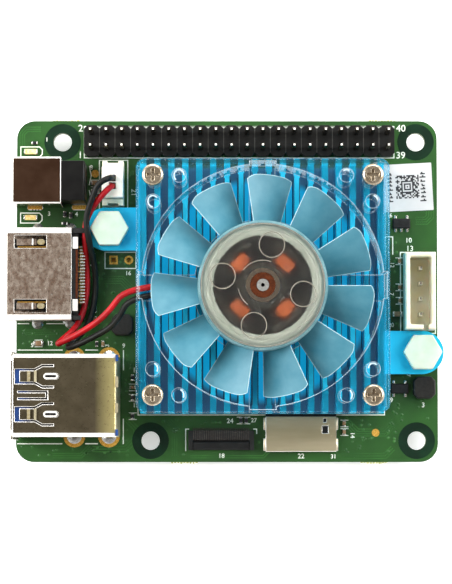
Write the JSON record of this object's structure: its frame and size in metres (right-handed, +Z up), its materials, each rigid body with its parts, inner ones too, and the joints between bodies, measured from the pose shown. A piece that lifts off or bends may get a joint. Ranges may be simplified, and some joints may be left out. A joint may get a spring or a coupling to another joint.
{
  "type": "single board computer",
  "caption": "Small green circuit board computer with pin header, power, video and stacked ports, finned blue heat sink and clear cooling fan.",
  "frame": {"origin": "middle of the circuit board in plan, on the surface that the heat sink bolts' lower ends stand on", "axes": "+Z up out of the component side, +X along the board's long side towards the serial header, +Y towards the 40-pin header"},
  "size_m": [0.0708, 0.056, 0.0257],
  "materials": {
    "board_laminate": "green solder mask over glass-fibre laminate",
    "header_plastic": "moulded black nylon",
    "gold_plating": "gold flash over brass",
    "jack_plastic": "moulded black plastic",
    "jack_shell_steel": "bright nickel-plated sheet steel",
    "nickel_plating": "nickel plating",
    "video_shell_steel": "tin-plated sheet steel, slightly stained",
    "socket_plastic": "black high-temperature plastic",
    "port_shell_steel": "nickel-plated sheet steel",
    "blue_plastic": "moulded blue plastic",
    "tin_plating": "bright tin plating",
    "slot_cover_steel": "satin stainless sheet",
    "cable_socket_plastic": "grey-black high-temperature plastic",
    "cream_nylon": "natural nylon",
    "wafer_nylon": "natural high-temperature nylon",
    "plug_nylon": "white nylon",
    "chip_epoxy": "moulded black epoxy",
    "silicone_pad": "soft silicone thermal pad",
    "blue_anodised_aluminium": "cyan-blue anodised",
    "white_nylon": "natural white nylon",
    "clear_frame_plastic": "clear polycarbonate",
    "bronzed_steel": "nickel-plated steel, warm tone",
    "sintered_bronze": "oil-filled sintered bronze",
    "motor_board_laminate": "dark brown laminate",
    "stator_steel": "stacked electrical steel",
    "copper_wire": "enamelled copper wire",
    "clear_blue_plastic": "clear frosted plastic",
    "yoke_steel": "zinc-plated deep-drawn steel",
    "ferrite": "bonded ferrite magnet",
    "shaft_steel": "ground steel",
    "red_wire_insulation": "red extruded insulation",
    "black_wire_insulation": "black extruded insulation",
    "brown_ceramic": "fired brown ceramic",
    "black_glaze": "black resistor glaze",
    "led_resin": "cast yellowish resin",
    "moulded_ferrite": "pressed grey iron powder",
    "paper_label": "white coated paper"
  },
  "bodies": {
    "board": {"circuit_board": "board_laminate", "pin_header_housing": "header_plastic", "pin_header_pins": "gold_plating", "power_jack_body": "jack_plastic", "power_jack_shell": "jack_shell_steel", "power_jack_pin": "nickel_plating", "power_jack_spring": "nickel_plating", "video_socket_shell": "video_shell_steel", "video_socket_springs": "video_shell_steel", "video_socket_insulator": "socket_plastic", "video_socket_contacts": "gold_plating", "dual_port_shell": "port_shell_steel", "dual_port_insulator": "blue_plastic", "dual_port_contacts": "gold_plating", "dual_port_tails": "tin_plating", "card_slot_cover": "slot_cover_steel", "card_slot_body": "socket_plastic", "card_slot_contacts": "gold_plating", "cable_socket_body": "cable_socket_plastic", "cable_socket_contacts": "tin_plating", "serial_header_housing": "cream_nylon", "serial_header_pins": "tin_plating", "fan_socket_housing": "wafer_nylon", "fan_socket_pins": "tin_plating", "fan_plug_housing": "plug_nylon", "fan_plug_terminals": "tin_plating", "processor": "chip_epoxy", "thermal_pad": "silicone_pad", "memory_chips": "chip_epoxy", "heat_sink": "blue_anodised_aluminium", "heat_sink_bolts": "white_nylon", "heat_sink_nuts": "white_nylon", "fan_frame": "clear_frame_plastic", "fan_screws": "bronzed_steel", "bearing_sleeve": "sintered_bronze", "motor_circuit_board": "motor_board_laminate", "stator_core": "stator_steel", "stator_windings": "copper_wire", "fan_lead_red": "red_wire_insulation", "fan_lead_black": "black_wire_insulation", "capacitor_bodies": "brown_ceramic", "resistor_bodies": "black_glaze", "chip_end_caps": "tin_plating", "indicator_leds": "led_resin", "power_inductors": "moulded_ferrite", "regulator_chips": "chip_epoxy", "chip_leads": "tin_plating", "label_sticker": "paper_label", "underside_capacitors": "brown_ceramic", "underside_chips": "chip_epoxy"},
    "rotor": {"fan_impeller": "clear_blue_plastic", "rotor_yoke": "yoke_steel", "rotor_magnet": "ferrite", "rotor_shaft": "shaft_steel", "shaft_bush": "sintered_bronze", "shaft_retainer": "white_nylon"},
    "latch": {"cable_socket_latch": "socket_plastic"}
  },
  "joints": [
    {"name": "rotor_spin", "type": "hinge", "parent": "board", "child": "rotor", "pos_m": [0.0056, -0.00015, 0.0206], "axis": [0, 0, 1], "continuous": true},
    {"name": "latch_flip", "type": "hinge", "parent": "board", "child": "latch", "pos_m": [-0.00095, -0.02492, 0.00532], "axis": [-1, 0, 0], "range_deg": [0, 90]}
  ]
}
